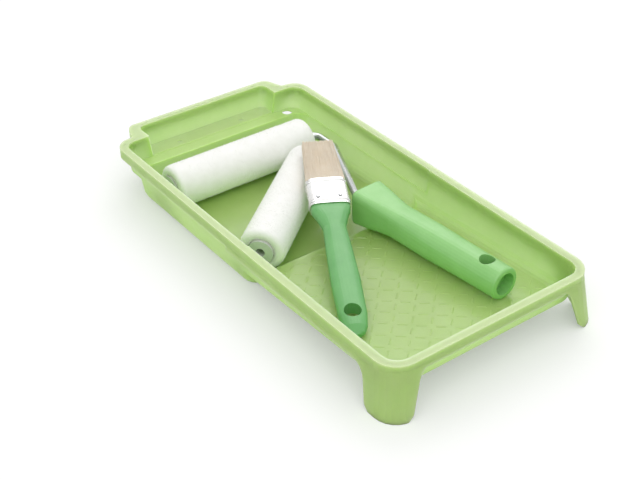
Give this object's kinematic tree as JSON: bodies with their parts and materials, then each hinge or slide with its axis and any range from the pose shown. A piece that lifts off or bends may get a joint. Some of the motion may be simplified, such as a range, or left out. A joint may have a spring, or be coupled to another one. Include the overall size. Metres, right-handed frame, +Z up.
{
  "type": "paint roller tray set",
  "caption": "Moulded paint tray with a ramp, a deep well and splayed front legs, holding a mini roller, a spare sleeve and a flat brush that lift out.",
  "frame": {"origin": "on the floor under the middle of the set", "axes": "+X to the right, +Y from the front legs to the rear of the well, +Z up"},
  "size_m": [0.1582, 0.3109, 0.0419],
  "materials": {
    "leaf_plastic": "satin moulded",
    "grip_plastic": "satin moulded",
    "steel": "bright plated",
    "pile": "short white pile",
    "natural_plastic": "natural",
    "nylon": "natural",
    "bristle": "combed filaments",
    "timber": "raw",
    "resin": "cast"
  },
  "bodies": {
    "tray": {"tray": "leaf_plastic"},
    "roller": {"roller_handle": "grip_plastic", "roller_wire": "steel", "roller_retainer": "steel"},
    "roller_sleeve": {"roller_cover": "pile", "roller_core": "natural_plastic", "roller_bush_near": "nylon", "roller_bush_far": "nylon", "roller_end_cap": "nylon"},
    "spare": {"spare_cover": "pile", "spare_core": "natural_plastic", "spare_bush_near": "nylon", "spare_bush_far": "nylon", "spare_end_cap": "nylon"},
    "brush": {"brush_handle": "grip_plastic", "brush_ferrule": "steel", "brush_bristles": "bristle", "brush_filler": "timber", "brush_resin": "resin", "brush_nail_upper_right": "steel", "brush_nail_upper_left": "steel", "brush_nail_lower_right": "steel", "brush_nail_lower_left": "steel"}
  },
  "joints": [
    {"name": "roller_lift", "type": "slide", "parent": "tray", "child": "roller", "axis": [0, 0, 1], "range_m": [0, 0.07]},
    {"name": "roller_spin", "type": "hinge", "parent": "roller", "child": "roller_sleeve", "pos_m": [-0.0053, 0.0951, 0.0171], "axis": [1, 0, 0], "continuous": true},
    {"name": "spare_lift", "type": "slide", "parent": "tray", "child": "spare", "axis": [0, 0, 1], "range_m": [0, 0.07]},
    {"name": "brush_lift", "type": "slide", "parent": "spare", "child": "brush", "axis": [0, 0, 1], "range_m": [0, 0.06]}
  ]
}
